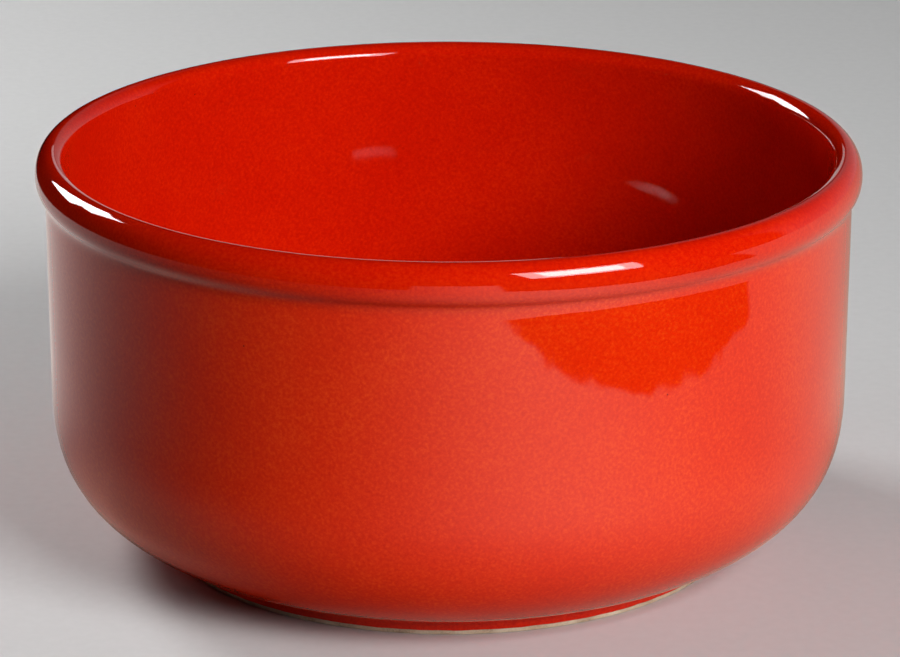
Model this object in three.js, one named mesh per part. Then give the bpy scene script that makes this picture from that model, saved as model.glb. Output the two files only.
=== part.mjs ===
import * as THREE from "three";

// A round vegetable bowl in glazed earthenware, in millimetres, +Z up.
// It stands on its foot ring, with the origin at the centre of the ring's bearing face.
// The bowl is one thrown and fired clay body, so it has no joints. What can be told apart
// on it is the clay, the red glaze that covers it inside and out down to the foot, and
// the separate patch of glaze inside the foot ring. The bare ring of clay parts the two glazes.

// Overall sizes of the finished bowl, over the glaze.
const rimRadius = 101.6;
const bowlHeight = 101.6;

// The glaze lies on the clay as an even skin. It is fused to the clay on the real bowl, and
// here the two faces keep a hair's breadth between them.
const glazeThickness = 0.4;
const glazeClearance = 0.02;

// Rolled rim: an oval bead whose crest lies between its outer edge and the inside of the bowl.
const rimOutsideWidth = 3.9;
const rimInsideWidth = 3.4;
const rimUpperHeight = 5.8;
const rimLowerHeight = 5.1;

// The bead hangs over the wall, and a soft cove leads from its underside into the wall.
const rimOverhang = 2.4;
const coveStartAngle = 50;
const coveDrop = 2.8;

// The wall stands nearly upright and draws in slightly on its way down.
const wallDrawIn = 0.35;
const bellyTopHeight = 43.8;

// The belly is a quarter of a superellipse, which would end on a small flat inside the foot.
const bellyFlatRadius = 13.3;
const bellyFullness = 2.86;

// Foot ring, with the glaze stopping short of the face that it stands on.
const footRadius = 70.6;
const footHeight = 3.4;
const footRingWidth = 5.4;
const footFillet = 0.8;
const footEdgeRound = 0.5;
const bareFootHeight = 1.2;
const bareInnerHeight = 1.0;
const recessDepth = 2.8;
const recessFillet = 1.2;

// Inside of the bowl, over the glaze.
const wallThickness = 4.9;
const floorThickness = 6.9;
const wellTopHeight = 44;
const wellFlatRadius = 22;
const wellFullness = 3.2;

// How finely the round shapes are divided.
const turnSegments = 64;
const rimOutsideSteps = 5;
const rimUnderSteps = 3;
const rimInsideSteps = 4;
const coveSteps = 3;
const bellySteps = 8;
const wellSteps = 8;
const filletSteps = 2;

const point = (radius, height) => new THREE.Vector2(radius, height);

// An arc of an ellipse, counted in degrees from the outward direction, up being 90.
function ovalArc(centre, halfWidth, halfHeight, fromAngle, toAngle, steps) {
  const points = [];
  for (let i = 0; i <= steps; i += 1) {
    const angle = THREE.MathUtils.degToRad(fromAngle + ((toAngle - fromAngle) * i) / steps);
    const radius = centre.x + halfWidth * Math.cos(angle);
    const height = centre.y + halfHeight * Math.sin(angle);
    points.push(point(radius, height));
  }
  return points;
}

// A curve from one point to another that leaves and arrives heading for the corner.
function easedCorner(from, corner, to, steps) {
  return new THREE.QuadraticBezierCurve(from, corner, to).getPoints(steps);
}

// The steepness, in radians above level, of a superellipse at a share of its radial reach.
function slopeAtShare(share, reach, depth, fullness) {
  const fall = (1 - share ** fullness) ** (1 / fullness);
  return Math.atan((depth / reach) * (share / fall) ** (fullness - 1));
}

// A superellipse from an upright wall down and in, in even steps of slope.
function roundedBottom(top, flatRadius, depth, fullness, lastSlope, steps) {
  const reach = top.x - flatRadius;
  const points = [top];
  for (let i = 1; i <= steps; i += 1) {
    const slope = Math.PI / 2 + ((lastSlope - Math.PI / 2) * i) / steps;
    const ratio = ((Math.tan(slope) * reach) / depth) ** (1 / (fullness - 1));
    const fall = (1 + ratio ** fullness) ** (-1 / fullness);
    points.push(point(flatRadius + reach * ratio * fall, top.y - depth * fall));
  }
  return points;
}

// The same line moved sideways by a distance, to the right of its direction of travel.
function sideways(line, distance) {
  return line.map((here, i) => {
    const before = line[Math.max(i - 1, 0)];
    const after = line[Math.min(i + 1, line.length - 1)];
    const arriving = here.clone().sub(before).normalize();
    const leaving = after.clone().sub(here).normalize();
    const along = arriving.add(leaving).normalize();
    const radius = here.x === 0 ? 0 : here.x + along.y * distance;
    return point(radius, here.y - along.x * distance);
  });
}

function turned(name, profile, look) {
  const geometry = new THREE.LatheGeometry(profile, turnSegments);
  geometry.rotateX(Math.PI / 2);
  const mesh = new THREE.Mesh(geometry, new THREE.MeshStandardMaterial(look));
  mesh.name = name;
  return mesh;
}

// Outside of the finished bowl, from the glaze line on the foot up to the crest of the rim.
const widestHeight = bowlHeight - rimUpperHeight;
const crestRadius = rimRadius - rimOutsideWidth;
const rimCentre = point(crestRadius, widestHeight);
const wallRadius = rimRadius - rimOverhang;
const bellyTop = point(wallRadius - wallDrawIn, bellyTopHeight);
const glazedFootRadius = footRadius + glazeThickness;

function footAndBelly() {
  const reach = bellyTop.x - bellyFlatRadius;
  const footShare = (glazedFootRadius - bellyFlatRadius) / reach;
  const footFall = (1 - footShare ** bellyFullness) ** (1 / bellyFullness);
  const depth = (bellyTop.y - footHeight) / footFall;
  const filletShare = (glazedFootRadius + footFillet - bellyFlatRadius) / reach;
  const lastSlope = slopeAtShare(filletShare, reach, depth, bellyFullness);
  const belly = roundedBottom(bellyTop, bellyFlatRadius, depth, bellyFullness, lastSlope, bellySteps);
  const bellyEnd = belly.pop();
  const corner = point(glazedFootRadius, bellyEnd.y - footFillet * Math.tan(lastSlope));
  const footTop = point(glazedFootRadius, corner.y - footFillet);
  const fillet = easedCorner(footTop, corner, bellyEnd, filletSteps);
  const glazeEnd = point(glazedFootRadius, bareFootHeight + glazeThickness);
  return [glazeEnd, ...fillet, ...belly.reverse()];
}

function coveAndRim() {
  const under = ovalArc(rimCentre, rimOutsideWidth, rimLowerHeight, -coveStartAngle, 0, rimUnderSteps);
  const start = under.shift();
  const startAngle = THREE.MathUtils.degToRad(coveStartAngle);
  const steepness = rimLowerHeight / (rimOutsideWidth * Math.tan(startAngle));
  const corner = point(wallRadius, start.y - (start.x - wallRadius) * steepness);
  const coveEnd = point(wallRadius, corner.y - coveDrop);
  const cove = easedCorner(coveEnd, corner, start, coveSteps);
  const over = ovalArc(rimCentre, rimOutsideWidth, rimUpperHeight, 0, 90, rimOutsideSteps);
  return [...cove, ...under, ...over.slice(1)];
}

// Inside of the finished bowl, from the crest of the rim down to the middle of the floor.
const floorHeight = recessDepth + floorThickness;

function rimInsideAndWell() {
  const insideCentre = point(crestRadius, bowlHeight - rimInsideWidth);
  const over = ovalArc(insideCentre, rimInsideWidth, rimInsideWidth, 90, 180, rimInsideSteps);
  const wellTop = point(bellyTop.x - wallThickness, wellTopHeight);
  const depth = wellTopHeight - floorHeight;
  const well = roundedBottom(wellTop, wellFlatRadius, depth, wellFullness, 0, wellSteps);
  return [...over.slice(1), ...well, point(0, floorHeight)];
}

const finishedFace = [...footAndBelly(), ...coveAndRim(), ...rimInsideAndWell()];
const clayFace = sideways(finishedFace, -glazeThickness);
const glazeBack = sideways(finishedFace, glazeClearance - glazeThickness);

// Underside of the clay, from the middle of the recess out to the outer foot edge.
const ringInnerRadius = footRadius - footRingWidth;

function clayRecess() {
  const corner = point(ringInnerRadius, recessDepth);
  const recessEdge = point(ringInnerRadius - recessFillet, recessDepth);
  const ringTop = point(ringInnerRadius, recessDepth - recessFillet);
  const fillet = easedCorner(recessEdge, corner, ringTop, filletSteps);
  return [point(0, recessDepth), ...fillet, point(ringInnerRadius, bareInnerHeight)];
}

function clayBearing() {
  const innerCentre = point(ringInnerRadius + footEdgeRound, footEdgeRound);
  const outerCentre = point(footRadius - footEdgeRound, footEdgeRound);
  const innerEdge = ovalArc(innerCentre, footEdgeRound, footEdgeRound, 180, 270, filletSteps);
  const outerEdge = ovalArc(outerCentre, footEdgeRound, footEdgeRound, 270, 360, filletSteps);
  return [...innerEdge, ...outerEdge];
}

const recessFace = clayRecess();
const clayBody = turned(
  "clay_body",
  [...recessFace, ...clayBearing(), point(footRadius, bareFootHeight), ...clayFace],
  { color: 0xd9bfa3, roughness: 0.85, metalness: 0 },
);

// The glaze coat closes on the clay at its edge just above the bare foot.
const glazeCoat = turned(
  "glaze_coat",
  [...glazeBack.reverse(), point(footRadius + glazeClearance, bareFootHeight), ...finishedFace],
  { color: 0xd9260c, roughness: 0.08, metalness: 0 },
);

// The glaze inside the foot ring covers the recess and stops short of the bearing face.
const recessGlazeFace = sideways(recessFace, glazeThickness);
const recessGlazeBack = sideways(recessFace, glazeClearance);
recessGlazeFace.at(-1).y += glazeThickness;
const baseGlaze = turned(
  "base_glaze",
  [...recessGlazeFace, ...recessGlazeBack.reverse()],
  { color: 0xd9260c, roughness: 0.08, metalness: 0 },
);

const bowl = new THREE.Group();
bowl.add(clayBody, glazeCoat, baseGlaze);

export default bowl;
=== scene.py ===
# %% [markdown]
# A vegetable bowl in glazed earthenware
#
# The real bowl starts as one lump of clay, thrown or jiggered on a wheel. It is dried, fired,
# dipped in red glaze and fired again. Three things can be told apart on it: the clay, which
# shows bare only at the foot ring, the coat of glaze over all the rest, and a patch of the same
# glaze inside the ring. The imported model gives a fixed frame, and each piece made here stands
# exactly where its solid stands, only with finer curves and with real finishes.

# %% Load the frame
import math

import bmesh
import bpy
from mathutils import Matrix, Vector, noise


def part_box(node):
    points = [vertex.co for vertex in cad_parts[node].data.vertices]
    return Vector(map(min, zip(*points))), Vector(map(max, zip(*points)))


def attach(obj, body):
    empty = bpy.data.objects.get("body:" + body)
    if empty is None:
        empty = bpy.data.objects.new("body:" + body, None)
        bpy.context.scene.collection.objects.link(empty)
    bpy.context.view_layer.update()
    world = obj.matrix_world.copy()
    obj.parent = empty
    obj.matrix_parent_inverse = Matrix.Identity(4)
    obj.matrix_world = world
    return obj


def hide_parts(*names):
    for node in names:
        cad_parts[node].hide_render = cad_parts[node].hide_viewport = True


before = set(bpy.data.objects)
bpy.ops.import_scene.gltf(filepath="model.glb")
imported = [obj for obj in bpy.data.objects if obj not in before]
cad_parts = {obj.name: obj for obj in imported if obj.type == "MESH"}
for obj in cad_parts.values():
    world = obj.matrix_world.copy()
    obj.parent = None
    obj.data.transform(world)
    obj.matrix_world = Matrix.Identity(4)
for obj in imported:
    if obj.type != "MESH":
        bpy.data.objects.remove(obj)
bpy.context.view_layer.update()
scene = bpy.context.scene
print("pieces in the frame:", sorted(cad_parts))

# %% [markdown]
# Units and the camera
#
# Every size here is in metres, so a length in millimetres is written as a number times MM.
# The camera looks at the bowl as the photograph does: from a little over a metre away, above
# the rim, through a long lens, which keeps the rim's ellipse flat and the wall upright.
# A camera could also be aimed with a constraint, but three angles are plainer and exact.

# %% The camera
MM = 0.001
EYE = (-0.12 * MM, -1064.8 * MM, 406.5 * MM)
LOOKING_DOWN = math.radians(18.342)
ROLL = math.radians(-0.083)
LENS_LENGTH = 180
SENSOR_WIDTH = 36

camera_data = bpy.data.cameras.new("camera")
camera_data.lens = LENS_LENGTH
camera_data.sensor_width = SENSOR_WIDTH
camera_data.clip_start = 0.05
camera_data.clip_end = 60
camera = bpy.data.objects.new("camera", camera_data)
camera.location = EYE
camera.rotation_euler = (math.pi / 2 - LOOKING_DOWN, ROLL, 0)
scene.collection.objects.link(camera)
scene.camera = camera
scene.view_settings.view_transform = "Standard"
print("the camera stands", round(Vector(EYE).length, 3), "m from the foot of the bowl")

# %% [markdown]
# Sizes of the bowl
#
# A turned form is fully described by half of its section: a line in a plane through the axis.
# The rim's radius and the height come from the frame. The other sizes are the bowl's own, as
# a potter would note them: the rim's bead, the wall, the belly, the foot and the floor.

# %% Driving sizes
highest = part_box("glaze_coat")[1]
RIM_RADIUS = highest.x
BOWL_HEIGHT = highest.z
GLAZE_THICKNESS = 0.4 * MM
GLAZE_CLEARANCE = 0.02 * MM

RIM_OUTSIDE_WIDTH = 3.9 * MM
RIM_INSIDE_WIDTH = 3.4 * MM
RIM_UPPER_HEIGHT = 5.8 * MM
RIM_LOWER_HEIGHT = 5.1 * MM
RIM_OVERHANG = 2.4 * MM
COVE_START = math.radians(50)
COVE_DROP = 2.8 * MM

WALL_DRAW_IN = 0.35 * MM
BELLY_TOP_HEIGHT = 43.8 * MM
BELLY_FLAT_RADIUS = 13.3 * MM
BELLY_FULLNESS = 2.86

FOOT_RADIUS = 70.6 * MM
FOOT_HEIGHT = 3.4 * MM
FOOT_RING_WIDTH = 5.4 * MM
FOOT_FILLET = 0.8 * MM
FOOT_EDGE_ROUND = 0.5 * MM
BARE_FOOT_HEIGHT = 1.2 * MM
BARE_INNER_HEIGHT = 1.0 * MM
RECESS_DEPTH = 2.8 * MM
RECESS_FILLET = 1.2 * MM

WALL_THICKNESS = 4.9 * MM
FLOOR_THICKNESS = 6.9 * MM
WELL_TOP_HEIGHT = 44 * MM
WELL_FLAT_RADIUS = 22 * MM
WELL_FULLNESS = 3.2
print("rim", round(2 * RIM_RADIUS / MM, 1), "mm across, bowl", round(BOWL_HEIGHT / MM, 1), "mm high")

# %% [markdown]
# Curves of the section
#
# Four kinds of line make up the section. The rim's bead is an oval, so its arc is an ellipse.
# The fillets are soft corners, made by a curve that leaves one point and arrives at the next
# heading for the corner between them. The belly and the inside are superellipses, which are
# squarer than an ellipse and have no kink where they leave the wall. The back of the glaze is
# the same line again, moved sideways by the glaze's thickness.

# %% Curves
def at(radius, height):
    """A point of the section: its distance from the axis and its height."""
    return Vector((radius, height))


def oval_arc(centre, half_width, half_height, start, end, steps):
    """An arc of an ellipse. Angles count from the outward direction, up being a quarter turn."""
    line = []
    for step in range(steps + 1):
        angle = start + (end - start) * step / steps
        line.append(centre + at(half_width * math.cos(angle), half_height * math.sin(angle)))
    return line


def eased_corner(start, corner, end, steps):
    """A curve that leaves start and arrives at end heading for the corner."""
    line = []
    for step in range(steps + 1):
        share = step / steps
        line.append(start.lerp(corner, share).lerp(corner.lerp(end, share), share))
    return line


def rounded_bottom(top, flat_radius, depth, fullness, last_slope, steps):
    """A superellipse from an upright wall down and in, in even steps of slope."""
    reach = top.x - flat_radius
    line = [top]
    for step in range(1, steps + 1):
        share = step / steps
        slope = math.pi / 2 * (1 - share) + last_slope * share
        ratio = (math.tan(slope) * reach / depth) ** (1 / (fullness - 1))
        fall = (1 + ratio**fullness) ** (-1 / fullness)
        line.append(at(flat_radius + reach * ratio * fall, top.y - depth * fall))
    return line


def sideways(line, distance):
    """The same line moved sideways, to the right of its direction of travel."""
    moved = []
    for place, here in enumerate(line):
        before = line[max(place - 1, 0)]
        after = line[min(place + 1, len(line) - 1)]
        along = ((here - before).normalized() + (after - here).normalized()).normalized()
        radius = 0 if here.x == 0 else here.x + along.y * distance
        moved.append(at(radius, here.y - along.x * distance))
    return moved


corner_try = eased_corner(at(1, 0), at(1, 1), at(0, 1), 4)
print("a soft corner passes", [round(value, 3) for value in corner_try[2]])

# %% [markdown]
# The section of the finished bowl
#
# The line starts at the glaze's lower edge on the foot, climbs the foot and the belly, goes up
# the wall, rounds the cove and the bead, and comes down the inside to the middle of the floor.
# The potter's rib gives the real bowl the same line. Points lie closer where it bends more,
# because a mirror-bright glaze shows every flat spot.

# %% Outside, from the foot to the crest
LIP_STEPS = 4
FILLET_STEPS = 7
BELLY_STEPS = 28
COVE_STEPS = 9
UNDER_RIM_STEPS = 9
OVER_RIM_STEPS = 16
WIDEST_HEIGHT = BOWL_HEIGHT - RIM_UPPER_HEIGHT
CREST_RADIUS = RIM_RADIUS - RIM_OUTSIDE_WIDTH
WALL_RADIUS = RIM_RADIUS - RIM_OVERHANG
BELLY_TOP = at(WALL_RADIUS - WALL_DRAW_IN, BELLY_TOP_HEIGHT)
GLAZED_FOOT_RADIUS = FOOT_RADIUS + GLAZE_THICKNESS


def foot_and_belly():
    reach = BELLY_TOP.x - BELLY_FLAT_RADIUS
    foot_share = (GLAZED_FOOT_RADIUS - BELLY_FLAT_RADIUS) / reach
    foot_fall = (1 - foot_share**BELLY_FULLNESS) ** (1 / BELLY_FULLNESS)
    depth = (BELLY_TOP.y - FOOT_HEIGHT) / foot_fall
    share = (GLAZED_FOOT_RADIUS + FOOT_FILLET - BELLY_FLAT_RADIUS) / reach
    fall = (1 - share**BELLY_FULLNESS) ** (1 / BELLY_FULLNESS)
    last_slope = math.atan(depth / reach * (share / fall) ** (BELLY_FULLNESS - 1))
    belly = rounded_bottom(
        BELLY_TOP, BELLY_FLAT_RADIUS, depth, BELLY_FULLNESS, last_slope, BELLY_STEPS
    )
    belly_end = belly.pop()
    corner = at(GLAZED_FOOT_RADIUS, belly_end.y - FOOT_FILLET * math.tan(last_slope))
    foot_top = at(GLAZED_FOOT_RADIUS, corner.y - FOOT_FILLET)
    lip = at(GLAZED_FOOT_RADIUS, BARE_FOOT_HEIGHT + GLAZE_THICKNESS)
    lip_start = at(FOOT_RADIUS + 2 * GLAZE_CLEARANCE, BARE_FOOT_HEIGHT + 0.5 * GLAZE_CLEARANCE)
    lip_corner = at(GLAZED_FOOT_RADIUS, BARE_FOOT_HEIGHT)
    rolled_lip = eased_corner(lip_start, lip_corner, lip, LIP_STEPS)
    fillet = eased_corner(foot_top, corner, belly_end, FILLET_STEPS)
    return [*rolled_lip, *fillet, *reversed(belly)]


def cove_and_rim():
    centre = at(CREST_RADIUS, WIDEST_HEIGHT)
    under = oval_arc(centre, RIM_OUTSIDE_WIDTH, RIM_LOWER_HEIGHT, -COVE_START, 0, UNDER_RIM_STEPS)
    start = under.pop(0)
    steepness = RIM_LOWER_HEIGHT / (RIM_OUTSIDE_WIDTH * math.tan(COVE_START))
    corner = at(WALL_RADIUS, start.y - (start.x - WALL_RADIUS) * steepness)
    cove_end = at(WALL_RADIUS, corner.y - COVE_DROP)
    cove = eased_corner(cove_end, corner, start, COVE_STEPS)
    over = oval_arc(
        centre, RIM_OUTSIDE_WIDTH, RIM_UPPER_HEIGHT, 0, math.pi / 2, OVER_RIM_STEPS
    )
    return [*cove, *under, *over[1:]]


outside = [*foot_and_belly(), *cove_and_rim()]
print("outside line:", len(outside), "points, crest at radius", round(outside[-1].x / MM, 2), "mm")

# %% Inside, from the crest to the middle of the floor
FLOOR_HEIGHT = RECESS_DEPTH + FLOOR_THICKNESS
RIM_INSIDE_STEPS = 14
WELL_STEPS = 26


def rim_inside_and_well():
    centre = at(CREST_RADIUS, BOWL_HEIGHT - RIM_INSIDE_WIDTH)
    over = oval_arc(
        centre, RIM_INSIDE_WIDTH, RIM_INSIDE_WIDTH, math.pi / 2, math.pi, RIM_INSIDE_STEPS
    )
    well_top = at(BELLY_TOP.x - WALL_THICKNESS, WELL_TOP_HEIGHT)
    depth = WELL_TOP_HEIGHT - FLOOR_HEIGHT
    well = rounded_bottom(well_top, WELL_FLAT_RADIUS, depth, WELL_FULLNESS, 0, WELL_STEPS)
    return [*over[1:], *well, at(0, FLOOR_HEIGHT)]


inside = rim_inside_and_well()
finished_line = [*outside, *inside]
print("inside line:", len(inside), "points, floor", round(inside[-1].y / MM, 2), "mm above the table")

# %% [markdown]
# Turning a section into a piece
#
# A potter spins the clay, and Blender's spin operator does the same to a line of vertices.
# The alternatives are the Screw modifier, which would stay live, and a mesh written out by
# hand, which is harder to read. After the spin, the vertices that meet on the axis are merged,
# and then the normals are worked out again, because a spin may turn a shell inside out.

# %% Spin a section
TURN_STEPS = 360
MERGE_DISTANCE = 0.002 * MM
ORIGIN = (0, 0, 0)
AXIS = (0, 0, 1)


def thrown_piece(name, section, closed, depths=None):
    """Spins a section round the axis. depths says how deep a red the glaze has at each point."""
    lump = bmesh.new()
    depth_layer = lump.verts.layers.float.new("glaze_depth_and_painted_light")
    corners = []
    for place, point in enumerate(section):
        corner = lump.verts.new((point.x, 0, point.y))
        corner[depth_layer] = depths[place] if depths else 0
        corners.append(corner)
    ends = corners + corners[:1] if closed else corners
    edges = []
    for pair in zip(ends, ends[1:]):
        if any(end.co.x > 0 for end in pair):
            edges.append(lump.edges.new(pair))
    bmesh.ops.spin(
        lump, geom=corners + edges, cent=ORIGIN, axis=AXIS, angle=math.tau,
        steps=TURN_STEPS, use_merge=True,
    )
    bmesh.ops.remove_doubles(lump, verts=lump.verts, dist=MERGE_DISTANCE)
    bmesh.ops.recalc_face_normals(lump, faces=lump.faces)
    for face in lump.faces:
        face.smooth = True
    mesh = bpy.data.meshes.new(name)
    lump.to_mesh(mesh)
    lump.free()
    piece = bpy.data.objects.new(name, mesh)
    scene.collection.objects.link(piece)
    print(name, "has", len(mesh.polygons), "faces")
    return piece


# %% [markdown]
# Glaze coat
#
# Glaze is a skin of coloured glass, about 0.4 mm thick. It is made here as a closed shell with
# the finished line as its front and the same line moved inwards as its back. Each point also
# carries how deep its red is. The upright wall has the lightest red, which is painted light. The
# rolled bead is a deeper red, and the glaze gathered at the foot and inside the bowl. On the
# inside floor it pooled, and its dark red there is partly the pool and partly painted shade. A
# deeper layer of red glass is a deeper red.

# %% Make the glaze coat
POOL_TOP = 36 * MM
FOOT_GATHER_HEIGHT = 4 * FOOT_HEIGHT
FOOT_GATHER_SHARE = 0.5
COVE_HEIGHT = WIDEST_HEIGHT - RIM_LOWER_HEIGHT


# The wall's lighter red is painted light, and the pool's darkest red is partly painted shade.
def glaze_depth_and_painted_light_at(point, is_inside):
    """How deep the red is: 0 on the wall, up to 1 at the foot, on the bead and inside, 2 in the pool."""
    if is_inside:
        return 1 + min(1, max(0, (POOL_TOP - point.y) / (POOL_TOP - FLOOR_HEIGHT)))
    near_foot = max(0, 1 - (point.y - FOOT_HEIGHT) / FOOT_GATHER_HEIGHT)
    on_bead = min(1, max(0, (point.y - COVE_HEIGHT) / (BOWL_HEIGHT - COVE_HEIGHT)))
    return min(1, FOOT_GATHER_SHARE * near_foot + on_bead)


front_depths = [glaze_depth_and_painted_light_at(point, False) for point in outside]
front_depths += [glaze_depth_and_painted_light_at(point, True) for point in inside]
lip_points = LIP_STEPS + 1
glaze_back = sideways(finished_line, GLAZE_CLEARANCE - GLAZE_THICKNESS)
back_start = at(FOOT_RADIUS + GLAZE_CLEARANCE, BARE_FOOT_HEIGHT + GLAZE_CLEARANCE)
back_kept = glaze_back[lip_points:]
coat_section = [back_start, *finished_line, *reversed(back_kept)]
coat_depths = [front_depths[0], *front_depths, *[1] * len(back_kept)]
glaze_coat = thrown_piece("red_glaze_coat", coat_section, True, coat_depths)

# %% [markdown]
# The glaze line on the foot
#
# Before firing, the potter wipes the glaze off the foot so that it can't stick to the kiln
# shelf. A sponge leaves a slightly wandering line. The ring of vertices at the coat's lower
# edge is moved up and down a little by smooth noise, and the rings above it follow less and less.

# %% Let the glaze line wander
WANDER_HEIGHT = 0.22 * MM
WANDER_LENGTH = 5 * MM
WANDER_FADE = 1.2 * MM
BROAD_WAVE = 0.65
FINE_WAVE = 0.35
FINER = 3.1
RING_ZONE = 0.8 * FOOT_RADIUS


def wander(piece, edge_height):
    """Moves the lower edge of a glaze up and down along the ring."""
    top = edge_height + WANDER_FADE
    moved = 0
    for vertex in piece.data.vertices:
        place = vertex.co
        if place.z > top or math.hypot(place.x, place.y) < RING_ZONE:
            continue
        fade = min(1, (top - place.z) / WANDER_FADE)
        ring_place = Vector((place.x, place.y, 0)) / WANDER_LENGTH
        wave = BROAD_WAVE * noise.noise(ring_place) + FINE_WAVE * noise.noise(ring_place * FINER)
        vertex.co.z += WANDER_HEIGHT * fade * wave
        moved += 1
    return moved


print(wander(glaze_coat, BARE_FOOT_HEIGHT), "vertices moved along the glaze line")

# %% [markdown]
# Clay body
#
# The clay is everything under the glaze. Its section is closed: across the recess, round the
# foot ring, up behind the glaze, over the rim and down to the floor. Only the ring shows, so
# that is where the small round edges are, as a damp sponge leaves them.

# %% Make the clay body
RING_INNER_RADIUS = FOOT_RADIUS - FOOT_RING_WIDTH
RECESS_FILLET_STEPS = 6
FOOT_EDGE_STEPS = 5


def clay_recess():
    corner = at(RING_INNER_RADIUS, RECESS_DEPTH)
    edge = at(RING_INNER_RADIUS - RECESS_FILLET, RECESS_DEPTH)
    ring_top = at(RING_INNER_RADIUS, RECESS_DEPTH - RECESS_FILLET)
    fillet = eased_corner(edge, corner, ring_top, RECESS_FILLET_STEPS)
    return [at(0, RECESS_DEPTH), *fillet, at(RING_INNER_RADIUS, BARE_INNER_HEIGHT)]


def clay_bearing():
    inner = at(RING_INNER_RADIUS + FOOT_EDGE_ROUND, FOOT_EDGE_ROUND)
    outer = at(FOOT_RADIUS - FOOT_EDGE_ROUND, FOOT_EDGE_ROUND)
    down = 1.5 * math.pi
    inner_edge = oval_arc(inner, FOOT_EDGE_ROUND, FOOT_EDGE_ROUND, math.pi, down, FOOT_EDGE_STEPS)
    outer_edge = oval_arc(outer, FOOT_EDGE_ROUND, FOOT_EDGE_ROUND, down, math.tau, FOOT_EDGE_STEPS)
    return [*inner_edge, *outer_edge]


recess_line = clay_recess()
clay_face = sideways(finished_line, -GLAZE_THICKNESS)
clay_behind = clay_face[lip_points:]
foot_side = at(FOOT_RADIUS, BARE_FOOT_HEIGHT)
clay_section = [*recess_line, *clay_bearing(), foot_side, *clay_behind]
clay_body = thrown_piece("fired_clay_body", clay_section, False)

# %% [markdown]
# Glaze inside the foot ring
#
# A dipped bowl takes glaze inside its ring too. It covers the recess and stops on the inner
# side of the ring, where it was wiped. It is a thin shell like the coat.

# %% Make the recess glaze
RECESS_LAYER = 0.6
recess_front = sideways(recess_line, GLAZE_THICKNESS)
recess_back = sideways(recess_line, GLAZE_CLEARANCE)
recess_front[-1].y += GLAZE_THICKNESS
recess_section = [*recess_front, *reversed(recess_back)]
recess_depths = [RECESS_LAYER] * len(recess_section)
recess_glaze = thrown_piece("red_recess_glaze", recess_section, False, recess_depths)
print(wander(recess_glaze, BARE_INNER_HEIGHT), "vertices moved along the inner glaze line")

# %% [markdown]
# Helpers for materials
#
# Colours are written as the hex values that a paint program shows. The shader works on linear
# light, so one function converts them. Another adds a node with its settings and its links. A
# link may start at a node, which means the node's first output, or at any output by itself.

# %% Colour and node helpers
def linear(hex_colour):
    """Turns an sRGB hex colour into linear red, green, blue and a full alpha."""
    shares = [int(hex_colour[place : place + 2], 16) / 255 for place in (1, 3, 5)]
    lit = [share / 12.92 if share <= 0.04045 else ((share + 0.055) / 1.055) ** 2.4 for share in shares]
    return (*lit, 1)


def add_node(tree, kind, values=None, links=None, **settings):
    """Adds a node, sets its properties and the values of its sockets, and links its inputs."""
    node = tree.nodes.new(kind)
    for name, setting in settings.items():
        setattr(node, name, setting)
    for name, value in (values or {}).items():
        node.inputs[name].default_value = value
    for name, source in (links or {}).items():
        output = source.outputs[0] if isinstance(source, bpy.types.Node) else source
        tree.links.new(output, node.inputs[name])
    return node


def new_material(name):
    """An empty material with its output and its shader."""
    material = bpy.data.materials.new(name)
    material.use_nodes = True
    tree = material.node_tree
    tree.nodes.clear()
    shader = add_node(tree, "ShaderNodeBsdfPrincipled")
    add_node(tree, "ShaderNodeOutputMaterial", links={"Surface": shader})
    return material, tree, shader


def fill_ramp(ramp, stops):
    """Sets a colour ramp from pairs of a place and a hex colour."""
    elements = ramp.color_ramp.elements
    while len(elements) < len(stops):
        elements.new(0.5)
    for element, (place, colour) in zip(elements, stops):
        element.position = place
        element.color = linear(colour)


print("an orange-red in linear light:", [round(value, 3) for value in linear("#EB2C05")])

# %% [markdown]
# Red glaze
#
# This is a glossy earthenware glaze coloured orange-red and fired to a smooth glass. Glass has
# an index of refraction of about 1.5, which gives clear white highlights, and a stronger mirror
# at a glancing angle. The pigment doesn't melt evenly, so the colour is finely mottled, with
# grains of deeper and of lighter red, each a little under a millimetre across. A broad, faint
# cloudiness lies over that. One number for how deep the red looks is added up from the grains,
# the clouds and the depth of the layer, and one ramp turns it into a colour. The layer's lighter
# red on the upright wall is painted light. Mixing three colour textures would do too, but then
# the hues would drift apart. Where the glaze pooled, the colour moves on to a dark, saturated
# red, which is partly painted shade.

# %% Depth of the red
GLAZE_GRAIN = 0.8 * MM
GLAZE_CLOUD = 26 * MM
GRAIN_SHARE = 0.76
CLOUD_SHARE = 0.25
DEPTH_SHARE = 0.3
# The number is a half where grain and cloud are at their mean and the layer is 0.4 deep.
REDNESS_OFFSET = 0.5 - 0.4 * DEPTH_SHARE - 0.5 * (GRAIN_SHARE + CLOUD_SHARE)


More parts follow.
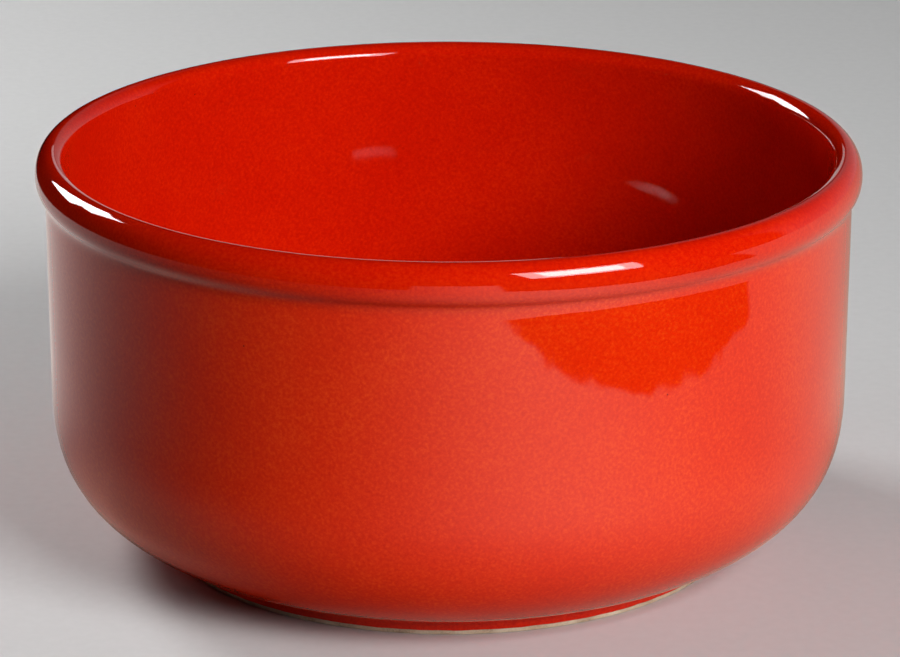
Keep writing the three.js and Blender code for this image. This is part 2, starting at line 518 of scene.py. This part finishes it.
def glaze_red(tree, spot):
    """The glaze's colour: deep red where the number is high, orange-red where it is low."""
    grain = add_node(
        tree, "ShaderNodeTexNoise",
        {"Scale": 1 / GLAZE_GRAIN, "Detail": 3, "Roughness": 0.6}, {"Vector": spot},
    )
    cloud = add_node(tree, "ShaderNodeTexNoise", {"Scale": 1 / GLAZE_CLOUD, "Detail": 2}, {"Vector": spot})
    layer = add_node(tree, "ShaderNodeAttribute", attribute_name="glaze_depth_and_painted_light").outputs["Fac"]
    even_layer = add_node(tree, "ShaderNodeMath", {1: 1}, {0: layer}, operation="MINIMUM")
    deepened = add_node(
        tree, "ShaderNodeMath", {1: DEPTH_SHARE, 2: REDNESS_OFFSET}, {0: even_layer},
        operation="MULTIPLY_ADD",
    )
    clouded = add_node(
        tree, "ShaderNodeMath", {1: CLOUD_SHARE}, {0: cloud, 2: deepened}, operation="MULTIPLY_ADD"
    )
    redness = add_node(
        tree, "ShaderNodeMath", {1: GRAIN_SHARE}, {0: grain, 2: clouded}, operation="MULTIPLY_ADD"
    )
    ramp = add_node(tree, "ShaderNodeValToRGB", links={"Fac": redness})
    fill_ramp(ramp, [(0.1, "#F84A0F"), (0.38, "#EB2C05"), (0.68, "#DA1902"), (0.95, "#C80D01")])
    # The pool's dark red is partly glaze that pooled and partly painted shade.
    pool = add_node(tree, "ShaderNodeMath", {1: 1}, {0: layer}, operation="SUBTRACT")
    return add_node(
        tree, "ShaderNodeMixRGB", {"Color2": linear("#970801")}, {"Fac": pool, "Color1": ramp},
        use_clamp=True,
    )


print("grains of", round(GLAZE_GRAIN / MM, 2), "mm, clouds of", round(GLAZE_CLOUD / MM), "mm")

# %% [markdown]
# Surface of the glaze
#
# A melted glaze is all but flat. A slight waviness, a centimetre from crest to crest and about a
# hundredth of a millimetre high, only shows in the edges of reflections. Here and there a gas
# bubble has burst and left a pinhole half a millimetre across. Both go into one bump. Inside a
# pinhole the red is darker, which is painted shade in the pit.

# %% Red glaze material
GLAZE_RIPPLE = 9 * MM
RIPPLE_HEIGHT = 0.03 * MM
PINHOLE_SPACING = 14 * MM
PINHOLE_RADIUS = 0.25 * MM
PINHOLE_FLOOR_RADIUS = 0.1 * MM
PINHOLE_DEPTH = 0.06 * MM
LEAST_ROUGHNESS = 0.02
ROUGHNESS_SPREAD = 0.04
GLASS_INDEX = 1.5
GLAZE_TURN = (0.4, 0.7, 0.2)


def pinholes(tree, spot):
    """1 in the middle of a pinhole and 0 outside it."""
    cells = add_node(tree, "ShaderNodeTexVoronoi", {"Scale": 1 / PINHOLE_SPACING}, {"Vector": spot})
    middle = PINHOLE_FLOOR_RADIUS / PINHOLE_SPACING
    edge = PINHOLE_RADIUS / PINHOLE_SPACING
    return add_node(
        tree, "ShaderNodeMapRange", {"From Min": middle, "From Max": edge, "To Min": 1, "To Max": 0},
        {"Value": cells},
    )


def make_red_glaze():
    material, tree, shader = new_material("glossy_red_earthenware_glaze")
    coordinates = add_node(tree, "ShaderNodeTexCoord")
    spot = add_node(
        tree, "ShaderNodeMapping", {"Rotation": GLAZE_TURN}, {"Vector": coordinates.outputs["Object"]}
    )
    holes = pinholes(tree, spot)
    # A darker red inside each pinhole is painted shade in the pit.
    colour = add_node(
        tree, "ShaderNodeMixRGB", {"Color2": linear("#6E0E04")},
        {"Fac": holes, "Color1": glaze_red(tree, spot)},
    )
    ripple = add_node(
        tree, "ShaderNodeTexNoise", {"Scale": 1 / GLAZE_RIPPLE, "Detail": 1}, {"Vector": spot}
    )
    pits = add_node(tree, "ShaderNodeMath", {1: -PINHOLE_DEPTH / MM}, {0: holes}, operation="MULTIPLY")
    height = add_node(
        tree, "ShaderNodeMath", {1: RIPPLE_HEIGHT / MM}, {0: ripple, 2: pits}, operation="MULTIPLY_ADD"
    )
    bump = add_node(tree, "ShaderNodeBump", {"Strength": 1, "Distance": MM}, {"Height": height})
    grain = add_node(tree, "ShaderNodeTexNoise", {"Scale": 1 / GLAZE_GRAIN, "Detail": 1}, {"Vector": spot})
    gloss = add_node(
        tree, "ShaderNodeMath", {1: ROUGHNESS_SPREAD, 2: LEAST_ROUGHNESS}, {0: grain},
        operation="MULTIPLY_ADD",
    )
    tree.links.new(colour.outputs["Color"], shader.inputs["Base Color"])
    tree.links.new(bump.outputs["Normal"], shader.inputs["Normal"])
    tree.links.new(gloss.outputs["Value"], shader.inputs["Roughness"])
    shader.inputs["IOR"].default_value = GLASS_INDEX
    return material


red_glaze = make_red_glaze()
for piece in (glaze_coat, recess_glaze):
    piece.data.materials.append(red_glaze)
print(red_glaze.name, "has", len(red_glaze.node_tree.nodes), "nodes")

# %% [markdown]
# Bare clay
#
# The foot ring is earthenware fired without glaze, a fine-grained cream body. It is dull, since
# its pores scatter the light, and it takes a little dirt, so the colour wanders between cream
# and a greyer tan. Its grit, about a third of a millimetre across, speckles it finely.

# %% Bare clay material
CLAY_GRIT = 0.35 * MM
GRIT_SHARE = 0.5
GRIT_HEIGHT = 0.08 * MM
CLAY_STAIN = 7 * MM
CLAY_ROUGHNESS = 0.9
CLAY_TURN = (0.3, 0.1, 0.5)


def make_bare_clay():
    material, tree, shader = new_material("bare_fired_earthenware")
    coordinates = add_node(tree, "ShaderNodeTexCoord")
    spot = add_node(
        tree, "ShaderNodeMapping", {"Rotation": CLAY_TURN}, {"Vector": coordinates.outputs["Object"]}
    )
    grit = add_node(
        tree, "ShaderNodeTexNoise",
        {"Scale": 1 / CLAY_GRIT, "Detail": 2, "Roughness": 0.6}, {"Vector": spot},
    )
    stain = add_node(tree, "ShaderNodeTexNoise", {"Scale": 1 / CLAY_STAIN, "Detail": 3}, {"Vector": spot})
    lowered = add_node(tree, "ShaderNodeMath", {1: 0.5 * GRIT_SHARE}, {0: stain}, operation="SUBTRACT")
    tone = add_node(
        tree, "ShaderNodeMath", {1: GRIT_SHARE}, {0: grit, 2: lowered}, operation="MULTIPLY_ADD"
    )
    ramp = add_node(tree, "ShaderNodeValToRGB", links={"Fac": tone})
    fill_ramp(ramp, [(0.2, "#8E7A62"), (0.42, "#C9B496"), (0.6, "#DCCBB0"), (0.8, "#E4D6BE")])
    bump = add_node(tree, "ShaderNodeBump", {"Strength": 0.6, "Distance": GRIT_HEIGHT}, {"Height": grit})
    tree.links.new(ramp.outputs["Color"], shader.inputs["Base Color"])
    tree.links.new(bump.outputs["Normal"], shader.inputs["Normal"])
    shader.inputs["Roughness"].default_value = CLAY_ROUGHNESS
    return material


bare_clay = make_bare_clay()
clay_body.data.materials.append(bare_clay)
print(bare_clay.name, "has", len(bare_clay.node_tree.nodes), "nodes")

# %% [markdown]
# Fasten the pieces to the frame
#
# Nothing on a bowl moves, so every piece rides on the one body. Each stands for its solid,
# which then isn't shown.

# %% Ride and replace
for piece, node, finish in (
    (clay_body, "clay_body", "fired_clay"),
    (glaze_coat, "glaze_coat", "red_glaze"),
    (recess_glaze, "base_glaze", "red_glaze"),
):
    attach(piece, "root")
    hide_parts(node)
    print(piece.name, "stands for", node)

# %% [markdown]
# Floor
#
# The bowl stands on a wide sheet of pale grey satin paper. It is one large square, many metres
# wide, so that it fills the picture from every side. Satin paper looks pale to the camera, but
# the bowl looks down on it at other angles. Towards the main lamp it sees a bright sheen, and
# to the left it sees the paper almost dark. A rough gloss could give this too, but it is noisy
# and hard to steer. So the paper is plain and matt and pale for camera rays, and mirror rays see
# a painted sheen instead, light that the paper gives off for them alone. It is the sum of three
# soft lobes, one towards each softbox and one from the side. The sheen and the bounce are worked
# out by place, in small steps that each have a name.

# %% Directions and distances on the floor
def towards(azimuth, elevation=0):
    """A direction. Azimuth 0 is the camera's side, and it grows to the right."""
    turn = math.radians(azimuth)
    rise = math.radians(elevation)
    return Vector((math.sin(turn) * math.cos(rise), -math.cos(turn) * math.cos(rise), math.sin(rise)))


def azimuth_of(tree, parts):
    """The compass direction in radians, 0 on the camera's side and growing to the right."""
    nearness = add_node(tree, "ShaderNodeMath", {1: -1}, {0: parts["Y"]}, operation="MULTIPLY")
    return add_node(tree, "ShaderNodeMath", links={0: parts["X"], 1: nearness}, operation="ARCTAN2")


def between_azimuths(tree, turn, start, end, softness):
    """1 from one azimuth to another, and 0 outside them."""
    after = add_node(
        tree, "ShaderNodeMapRange", {"From Min": start, "From Max": start + softness}, {"Value": turn}
    )
    before = add_node(
        tree, "ShaderNodeMapRange", {"From Min": end, "From Max": end - softness}, {"Value": turn}
    )
    return add_node(tree, "ShaderNodeMath", links={0: after, 1: before}, operation="MULTIPLY")


def distance_from_axis(tree, parts):
    """How far a spot on the floor is from the bowl's axis."""
    flat = add_node(tree, "ShaderNodeCombineXYZ", links={"X": parts["X"], "Y": parts["Y"]})
    length = add_node(tree, "ShaderNodeVectorMath", links={0: flat}, operation="LENGTH")
    return length.outputs["Value"]


print("to the right of the bowl is", [round(value, 3) for value in towards(90)])

# %% [markdown]
# Sheen far from the bowl
#
# Each lobe of sheen is brightest towards one azimuth and fades to both sides as a power of the
# cosine. The two in front have a warm tint and the one behind is nearly neutral, chosen to match
# the reflections in the photograph.

# %% Sheen
NEUTRAL_TINT = (1.1, 1.04, 1)
WARM_TINT = (1.45, 1.22, 1)
MAIN_SHEEN = {"azimuth": 27, "level": 0.92, "narrowness": 6}
SIDE_SHEEN = {"azimuth": 103, "level": 0.45, "narrowness": 2.6}
BACK_SHEEN = {"azimuth": -136, "level": 0.6, "narrowness": 2.2}
LEAST_SHEEN = 0.05


def lobe(tree, heading, azimuth, level, narrowness):
    """A sheen that is brightest towards an azimuth and fades to both sides."""
    facing = add_node(
        tree, "ShaderNodeVectorMath", {1: towards(azimuth)}, {0: heading}, operation="DOT_PRODUCT"
    )
    front = add_node(tree, "ShaderNodeMath", {1: 0}, {0: facing.outputs["Value"]}, operation="MAXIMUM")
    faded = add_node(tree, "ShaderNodeMath", {1: narrowness}, {0: front}, operation="POWER")
    return add_node(tree, "ShaderNodeMath", {1: level}, {0: faded}, operation="MULTIPLY")


def far_sheen(tree, spot):
    """The sheen away from the bowl: one glow towards each softbox and one from the side."""
    heading = add_node(tree, "ShaderNodeVectorMath", links={0: spot}, operation="NORMALIZE")
    main = lobe(tree, heading, **MAIN_SHEEN)
    side = lobe(tree, heading, **SIDE_SHEEN)
    back = lobe(tree, heading, **BACK_SHEEN)
    front = add_node(tree, "ShaderNodeMath", links={0: main, 1: side}, operation="ADD")
    lifted = add_node(tree, "ShaderNodeMath", {1: LEAST_SHEEN}, {0: front}, operation="ADD")
    warm = add_node(tree, "ShaderNodeVectorMath", {0: WARM_TINT}, {"Scale": lifted}, operation="SCALE")
    neutral = add_node(tree, "ShaderNodeVectorMath", {0: NEUTRAL_TINT}, {"Scale": back}, operation="SCALE")
    return add_node(tree, "ShaderNodeVectorMath", links={0: warm, 1: neutral}, operation="ADD")


print("the main sheen lies towards", [round(value, 3) for value in towards(MAIN_SHEEN["azimuth"])])

# %% [markdown]
# Where the painted sheen stops
#
# At the front right the painted sheen stops at a straight edge, and past it mirror rays see the
# paper almost black. That edge mirrors in the wall, and past it the red shows at its purest. On
# the left the painted sheen stops beyond a set distance. Both edges are a little ragged, which
# coarse noise added to the distance does.

# %% Where the paper is lit
EDGE_NOTCH = 26 * MM
EDGE_ROUGHNESS = 24 * MM
EDGE_SOFTNESS = 5 * MM
SIDE_SOFTNESS = math.radians(1.5)
SHEEN_EDGE_AZIMUTH = 52
SHEEN_EDGE_DISTANCE = 267 * MM
SHEEN_EDGE_FROM = math.radians(12)
SHEEN_EDGE_TO = math.radians(81)
LEFT_REACH = 480 * MM
OPEN_FROM = math.radians(-10)
OPEN_TO = math.radians(168)


def short_of(tree, length, notches, edge):
    """1 where a length falls short of a ragged edge, and 0 past it."""
    ragged = add_node(tree, "ShaderNodeMath", links={0: length, 1: notches}, operation="ADD")
    return add_node(
        tree, "ShaderNodeMapRange", {"From Min": edge + EDGE_SOFTNESS, "From Max": edge}, {"Value": ragged}
    )


def lit_share(tree, spot, parts, distance):
    """1 where the painted sheen shows, 0 past its edges at the front right and far out on the left."""
    coarse = add_node(tree, "ShaderNodeTexNoise", {"Scale": 1 / EDGE_NOTCH, "Detail": 2}, {"Vector": spot})
    notches = add_node(
        tree, "ShaderNodeMath", {1: EDGE_ROUGHNESS, 2: -0.5 * EDGE_ROUGHNESS}, {0: coarse},
        operation="MULTIPLY_ADD",
    )
    along = add_node(
        tree, "ShaderNodeVectorMath", {1: towards(SHEEN_EDGE_AZIMUTH)}, {0: spot}, operation="DOT_PRODUCT"
    )
    turn = azimuth_of(tree, parts)
    before_sheen_edge = short_of(tree, along.outputs["Value"], notches, SHEEN_EDGE_DISTANCE)
    on_sheen_edge_side = between_azimuths(tree, turn, SHEEN_EDGE_FROM, SHEEN_EDGE_TO, SIDE_SOFTNESS)
    aside_of_sheen_edge = add_node(tree, "ShaderNodeMath", {0: 1}, {1: on_sheen_edge_side}, operation="SUBTRACT")
    clear_of_sheen_edge = add_node(tree, "ShaderNodeMath", links={0: before_sheen_edge, 1: aside_of_sheen_edge}, operation="MAXIMUM")
    near = short_of(tree, distance, notches, LEFT_REACH)
    open_side = between_azimuths(tree, turn, OPEN_FROM, OPEN_TO, SIDE_SOFTNESS)
    not_dark = add_node(tree, "ShaderNodeMath", links={0: near, 1: open_side}, operation="MAXIMUM")
    return add_node(tree, "ShaderNodeMath", links={0: clear_of_sheen_edge, 1: not_dark}, operation="MULTIPLY")


# The card's edge is where the painted sheen on the paper stops.
print("the card's edge is", round(SHEEN_EDGE_DISTANCE / MM), "mm from the bowl's axis")

# %% [markdown]
# Shade near the foot
#
# Close to the foot the painted sheen gives way to painted shade, the bowl's shade on the paper,
# apart from a faint glow in front on both sides. That glow is tinted red, painted light that the
# red bowl throws on the paper. The sheen comes in gradually from there.

# %% Glow in the shade, and the whole sheen
SHEEN_START = 60 * MM
SHEEN_FULL = 200 * MM
BESIDE_WIDTH = 180 * MM
BESIDE_FRONT = -20 * MM
BESIDE_BACK = 40 * MM
SHADOW_START = 78 * MM
SHADOW_END = 94 * MM
LEFT_SHADE = 45 * MM
FOOT_GLOW = 0.11
# The glow's red tint is painted light from the red bowl.
SHADE_TINT = (1.8, 1.1, 0.9)


def glow_near_foot(tree, parts, distance):
    """The painted glow in the shade: faint in front, more to both sides, none at the foot on the left."""
    aside = add_node(tree, "ShaderNodeMath", {1: BESIDE_WIDTH}, {0: parts["X"]}, operation="DIVIDE")
    far_aside = add_node(tree, "ShaderNodeMath", links={0: aside, 1: aside}, operation="MULTIPLY")
    front_half = add_node(
        tree, "ShaderNodeMapRange",
        {"From Min": BESIDE_FRONT, "From Max": BESIDE_BACK, "To Min": 1, "To Max": 0},
        {"Value": parts["Y"]},
    )
    past_shadow = add_node(
        tree, "ShaderNodeMapRange", {"From Min": SHADOW_START, "From Max": SHADOW_END}, {"Value": distance}
    )
    past_left = add_node(
        tree, "ShaderNodeMapRange", {"From Min": -LEFT_SHADE, "From Max": 0}, {"Value": parts["X"]}
    )
    open_share = add_node(
        tree, "ShaderNodeMath", links={0: past_shadow, 1: past_left}, operation="MAXIMUM"
    )
    beside = add_node(tree, "ShaderNodeMath", links={0: far_aside, 1: open_share}, operation="MULTIPLY")
    at_foot = add_node(
        tree, "ShaderNodeMapRange",
        {"From Min": SHADOW_START, "From Max": SHADOW_END, "To Min": FOOT_GLOW, "To Max": 0},
        {"Value": distance},
    )
    both = add_node(
        tree, "ShaderNodeMath", links={0: at_foot, 1: past_left, 2: beside}, operation="MULTIPLY_ADD"
    )
    return add_node(tree, "ShaderNodeMath", links={0: both, 1: front_half}, operation="MULTIPLY")


def sheen_of_paper(tree, spot):
    """The paper's brightness in the glaze: its colour, and how much of it there is at the spot."""
    parts = add_node(tree, "ShaderNodeSeparateXYZ", links={"Vector": spot}).outputs
    distance = distance_from_axis(tree, parts)
    away = add_node(
        tree, "ShaderNodeMapRange", {"From Min": SHEEN_START, "From Max": SHEEN_FULL},
        {"Value": distance}, interpolation_type="SMOOTHSTEP",
    )
    glow = glow_near_foot(tree, parts, distance)
    shaded = add_node(tree, "ShaderNodeVectorMath", {0: SHADE_TINT}, {"Scale": glow}, operation="SCALE")
    sheen = add_node(
        tree, "ShaderNodeMixRGB", links={"Fac": away, "Color1": shaded, "Color2": far_sheen(tree, spot)}
    )
    return sheen, lit_share(tree, spot, parts, distance)


print("the sheen is full from", round(SHEEN_FULL / MM), "mm out")

# %% [markdown]
# Bounce and paper
#
# The light that the paper sends back up also goes by place. It is strong next to the bowl and
# weak far off and on the left. The paper's darker grey far off and on the left is painted shade,
# so the belly's underside is lit on the right and nearly dark on the left.

# %% Paper material
PAPER_GRAIN = 3 * MM
BOUNCE_REACH = 200 * MM
NEAR_BOUNCE = 0.7
FAR_BOUNCE = 0.25
LEFT_BOUNCE = 0.28


def bounce_of_paper(tree, spot):
    """The grey that light bounces off: pale next to the bowl, and dark far off and on the left."""
    parts = add_node(tree, "ShaderNodeSeparateXYZ", links={"Vector": spot}).outputs
    near = add_node(
        tree, "ShaderNodeMapRange",
        {"From Min": FOOT_RADIUS, "From Max": BOUNCE_REACH, "To Min": NEAR_BOUNCE, "To Max": FAR_BOUNCE},
        {"Value": distance_from_axis(tree, parts)},
    )
    side = add_node(
        tree, "ShaderNodeMapRange", {"From Min": -RIM_RADIUS, "From Max": 0, "To Min": LEFT_BOUNCE},
        {"Value": parts["X"]},
    )
    return add_node(tree, "ShaderNodeMath", links={0: near, 1: side}, operation="MULTIPLY")


def make_paper():
    material, tree, shader = new_material("pale_grey_satin_paper")
    spot = add_node(tree, "ShaderNodeTexCoord").outputs["Object"]
    path = add_node(tree, "ShaderNodeLightPath").outputs
    fibres = add_node(tree, "ShaderNodeTexNoise", {"Scale": 1 / PAPER_GRAIN, "Detail": 3}, {"Vector": spot})
    seen = add_node(tree, "ShaderNodeValToRGB", links={"Fac": fibres})
    fill_ramp(seen, [(0.3, "#CECECE"), (0.7, "#D1D1D1")])
    unseen = add_node(
        tree, "ShaderNodeMixRGB", {"Color2": linear("#0A0A0A")},
        {"Fac": path["Is Glossy Ray"], "Color1": bounce_of_paper(tree, spot)},
    )
    tone = add_node(
        tree, "ShaderNodeMixRGB", links={"Fac": path["Is Camera Ray"], "Color1": unseen, "Color2": seen}
    )
    sheen, lit = sheen_of_paper(tree, spot)
    level = add_node(tree, "ShaderNodeMath", links={0: lit, 1: path["Is Glossy Ray"]}, operation="MULTIPLY")
    tree.links.new(tone.outputs["Color"], shader.inputs["Base Color"])
    # Mirror rays see the painted sheen, an emission from the paper.
    tree.links.new(sheen.outputs["Color"], shader.inputs["Emission Color"])
    tree.links.new(level.outputs["Value"], shader.inputs["Emission Strength"])
    shader.inputs["Roughness"].default_value = 1
    shader.inputs["Specular IOR Level"].default_value = 0
    return material


paper = make_paper()
print(paper.name, "has", len(paper.node_tree.nodes), "nodes")

# %% Make the floor
FLOOR_HALF_WIDTH = 12


def flat_sheet(name, half_width, material):
    """A flat square sheet on the ground."""
    sheet = bmesh.new()
    bmesh.ops.create_grid(sheet, x_segments=1, y_segments=1, size=half_width)
    mesh = bpy.data.meshes.new(name)
    sheet.to_mesh(mesh)
    sheet.free()
    mesh.materials.append(material)
    piece = bpy.data.objects.new(name, mesh)
    scene.collection.objects.link(piece)
    return piece


floor = flat_sheet("floor", FLOOR_HALF_WIDTH, paper)
print("the floor is", 2 * FLOOR_HALF_WIDTH, "m wide")

# %% [markdown]
# Light
#
# Two softboxes light the set. The main one stands in front and to the right, a little higher
# than the camera. Its level is plain: a white sheet that faces it comes out white, so colours
# come out as they are written. The other stands behind on the left. On satin paper it shows as
# sheen, and on the bowl it only reaches the outside, from low down. No one lamp does both on matt
# paper, so two lamps light the paper alone and a long low one lights the glaze coat alone.
#
# A real softbox looks far brighter than the things that it lights, and that is what makes a
# highlight on glass burn out to white. So bright panels stand about where the softboxes are,
# which only mirror rays see, and which add nothing to the level on the bowl. The main panel has
# a brighter middle, as a softbox has, and a dim, tall and narrow panel far behind gives the pale
# line along the rim's inner edge.

# %% Lamps
AIM = Vector((0, 0, 60 * MM))
MAIN_PLACE = {"azimuth": 37, "elevation": 29}
MAIN_SIZE = {"width": 0.85, "height": 0.64}
PAPER_LAMP_SIZE = {"width": 0.35, "height": 0.35}


def lamp(name, azimuth, elevation, distance, width, height, watts):
    """A rectangular lamp that faces the bowl."""
    data = bpy.data.lights.new(name, "AREA")
    data.shape = "RECTANGLE"
    data.size = width
    data.size_y = height
    data.energy = watts
    piece = bpy.data.objects.new(name, data)
    direction = towards(azimuth, elevation)
    piece.location = AIM + direction * distance
    piece.rotation_euler = direction.to_track_quat("Z", "Y").to_euler()
    piece.visible_camera = False
    scene.collection.objects.link(piece)
    return piece


def softbox(name, azimuth, elevation, distance, width, height, level):
    """Lights without showing in the glaze. At level 1 a white sheet that faces it comes out white."""
    piece = lamp(name, azimuth, elevation, distance, width, height, level * (math.pi * distance) ** 2)
    piece.visible_glossy = False
    return piece


def mirror_panel(name, azimuth, elevation, distance, width, height, brightness):
    """Shows in reflections only. White paper at level 1 has a brightness of 1."""
    piece = lamp(name, azimuth, elevation, distance, width, height, brightness * math.pi * width * height)
    piece.visible_diffuse = False
    return piece


def receivers(name, piece):
    """A collection for a lamp that lights one piece and nothing else."""
    collection = bpy.data.collections.new(name)
    collection.objects.link(piece)
    return collection


softbox("main_softbox", **MAIN_PLACE, distance=1.6, **MAIN_SIZE, level=1.06)
low_softbox = softbox(
    "low_softbox", azimuth=-131, elevation=4, distance=1.5, width=0.8, height=0.12, level=0.38
)
paper_lamp = softbox(
    "paper_softbox", azimuth=-132, elevation=35, distance=1, **PAPER_LAMP_SIZE, level=0.59
)
paper_fill = softbox("paper_fill", azimuth=-90, elevation=40, distance=0.7, **PAPER_LAMP_SIZE, level=0.12)
mirror_panel("main_panel", **MAIN_PLACE, distance=1.57, **MAIN_SIZE, brightness=8)
mirror_panel(
    "main_panel_centre", **MAIN_PLACE, distance=1.55, width=0.56, height=0.41, brightness=13.5
)
mirror_panel(
    "back_panel", azimuth=-134, elevation=26, distance=1.5, width=0.46, height=0.62, brightness=14
)
mirror_panel(
    "back_panel_side", azimuth=-121, elevation=30, distance=1.5, width=0.14, height=0.4, brightness=14
)
mirror_panel(
    "far_panel", azimuth=-179, elevation=8.5, distance=3.4, width=0.26, height=1, brightness=0.7
)
paper_only = receivers("paper_only", floor)
for light in (paper_lamp, paper_fill):
    light.light_linking.receiver_collection = paper_only
low_softbox.light_linking.receiver_collection = receivers("glaze_only", glaze_coat)
print("lamps:", [light.name for light in bpy.data.lights])

# %% [markdown]
# World
#
# The studio round the bowl is dark, apart from a pale wall behind on the right, which shows as a
# haze along the rim. So mirror rays see a brightness that goes by the compass direction and
# fades upwards. The camera sees a plain pale grey, and the bowl gets an even, faint fill.

# %% Make the world
BACKDROP_GREY = 0.55
FILL_GREY = 0.005
WALL_TOP = math.sin(math.radians(44))
WALL_GREY = 0.36
WALL_FROM = math.radians(100)
WALL_TO = math.radians(179)
WALL_SOFTNESS = math.radians(4)


def make_world():
    world = bpy.data.worlds.new("dim_studio")
    world.use_nodes = True
    tree = world.node_tree
    tree.nodes.clear()
    heading = add_node(tree, "ShaderNodeTexCoord").outputs["Generated"]
    path = add_node(tree, "ShaderNodeLightPath").outputs
    parts = add_node(tree, "ShaderNodeSeparateXYZ", links={"Vector": heading}).outputs
    wall = between_azimuths(tree, azimuth_of(tree, parts), WALL_FROM, WALL_TO, WALL_SOFTNESS)
    fade = add_node(
        tree, "ShaderNodeMapRange",
        {"From Min": 0, "From Max": WALL_TOP, "To Min": WALL_GREY, "To Max": 0}, {"Value": parts["Z"]},
    )
    mirrored = add_node(tree, "ShaderNodeMath", links={0: wall, 1: fade}, operation="MULTIPLY")
    plain = add_node(
        tree, "ShaderNodeMath", {1: BACKDROP_GREY - FILL_GREY, 2: FILL_GREY},
        {0: path["Is Camera Ray"]}, operation="MULTIPLY_ADD",
    )
    grey = add_node(
        tree, "ShaderNodeMixRGB", links={"Fac": path["Is Glossy Ray"], "Color1": plain, "Color2": mirrored}
    )
    background = add_node(tree, "ShaderNodeBackground", links={"Color": grey})
    add_node(tree, "ShaderNodeOutputWorld", links={"Surface": background})
    return world


scene.world = make_world()
print("world:", scene.world.name)
